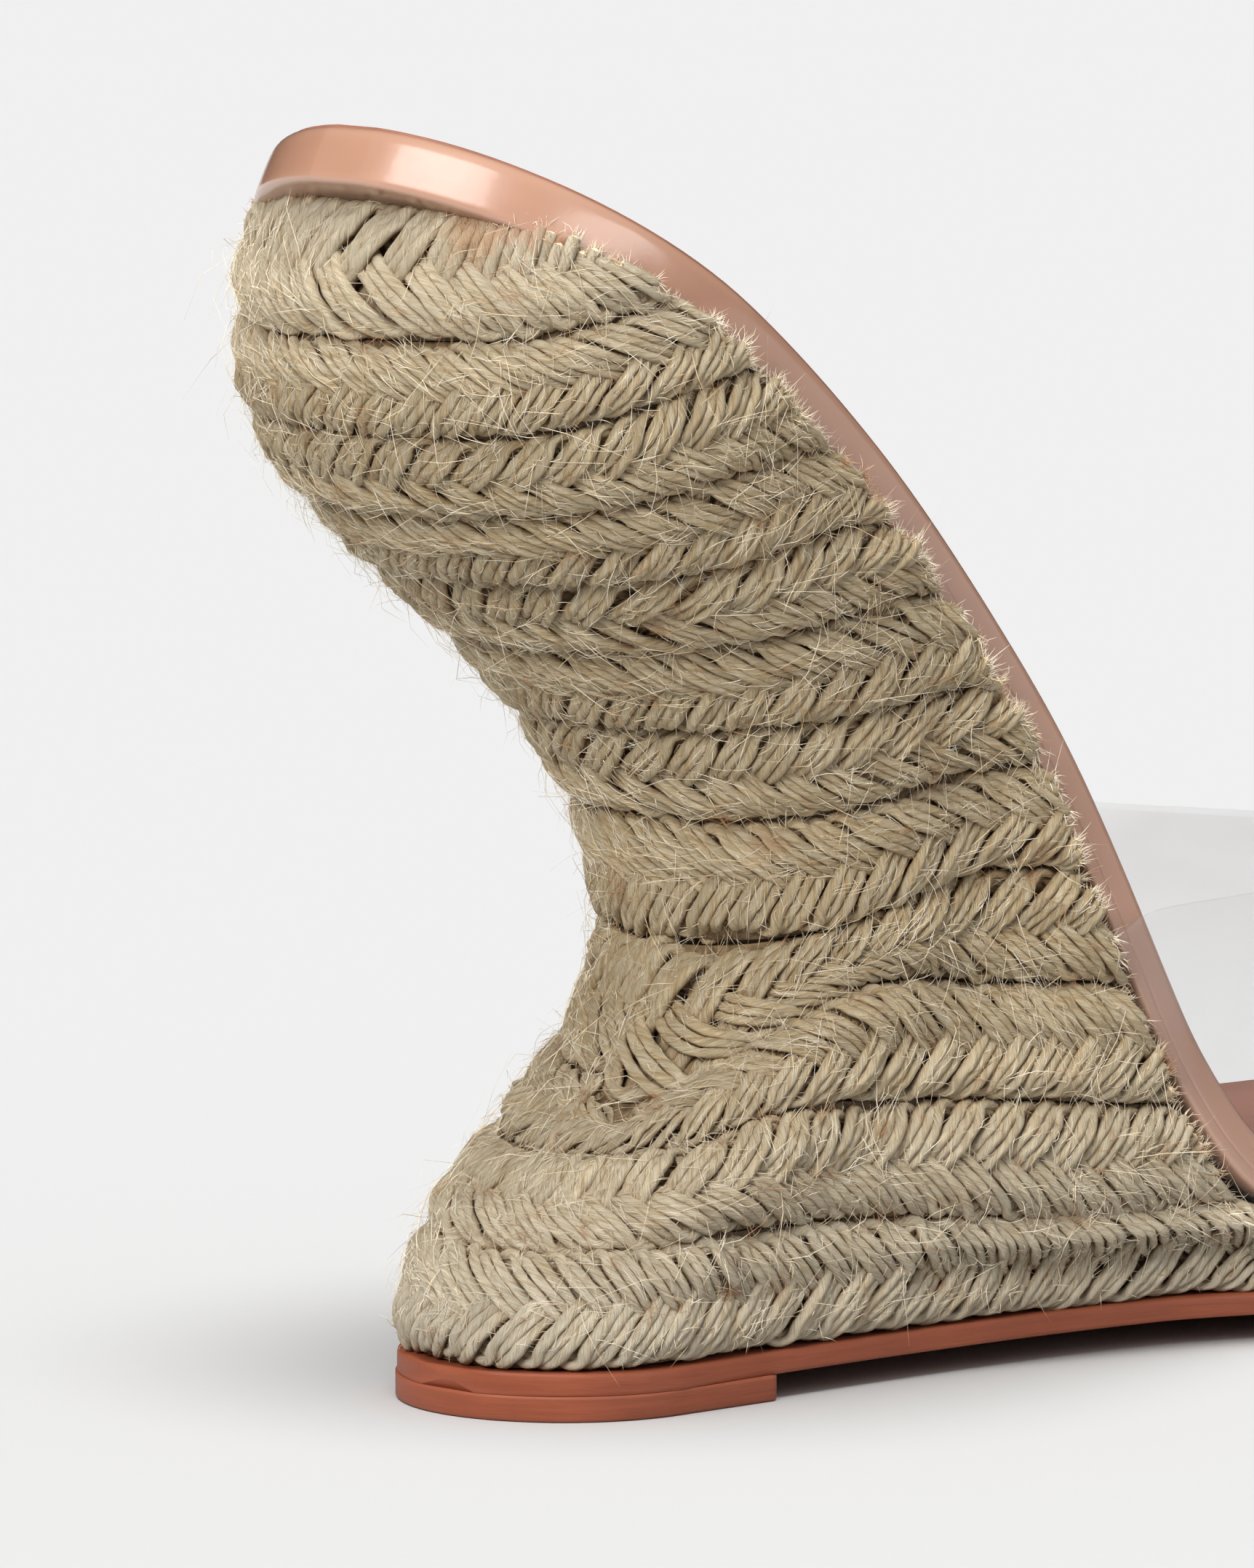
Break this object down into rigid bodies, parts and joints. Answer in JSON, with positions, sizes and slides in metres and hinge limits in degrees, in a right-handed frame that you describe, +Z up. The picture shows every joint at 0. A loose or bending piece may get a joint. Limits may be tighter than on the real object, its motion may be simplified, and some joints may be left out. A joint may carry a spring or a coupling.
{
  "type": "wedge sandal",
  "caption": "High wedge mule sandal: a hollowed-out wedge wrapped in flat jute braid, a thin glossy rand round the footbed, and a clear band over the forefoot.",
  "frame": {"origin": "middle of the heel top piece's tread, on the ground", "axes": "+X towards the toe, +Y towards the outer side of the left foot, +Z up from the ground"},
  "size_m": [0.2015, 0.082, 0.1245],
  "materials": {
    "jute": "natural jute, braided flat, matt and hairy",
    "patent": "blush patent leather, high gloss",
    "terracotta": "terracotta sole leather, satin",
    "sock": "tan lining leather, soft satin",
    "clear_vinyl": "clear soft vinyl, slightly hazy, glossy",
    "wood": "sawn beech, bare",
    "cork": "pressed cork sheet, bare",
    "board": "shoe board, bare",
    "foam": "soft latex foam, bare",
    "steel": "bright steel"
  },
  "bodies": {
    "root": {"outsole": "terracotta", "heel_top_piece": "terracotta", "wedge_core": "wood", "forefoot_filler": "cork", "jute_foxing": "jute", "jute_braid_02": "jute", "jute_braid_03": "jute", "jute_braid_04": "jute", "jute_braid_05": "jute", "jute_braid_06": "jute", "jute_braid_07": "jute", "jute_braid_08": "jute", "jute_braid_09": "jute", "jute_braid_10": "jute", "jute_braid_11": "jute", "jute_braid_12": "jute", "insole_board": "board", "footbed_foam": "foam", "sock_lining": "sock", "footbed_rand": "patent", "shank": "steel", "shank_rivet_rear": "steel", "shank_rivet_front": "steel", "heel_seat_screw": "steel", "heel_nail_1": "steel", "heel_nail_2": "steel", "heel_nail_3": "steel", "heel_nail_4": "steel", "vamp_strap": "clear_vinyl"}
  },
  "joints": []
}
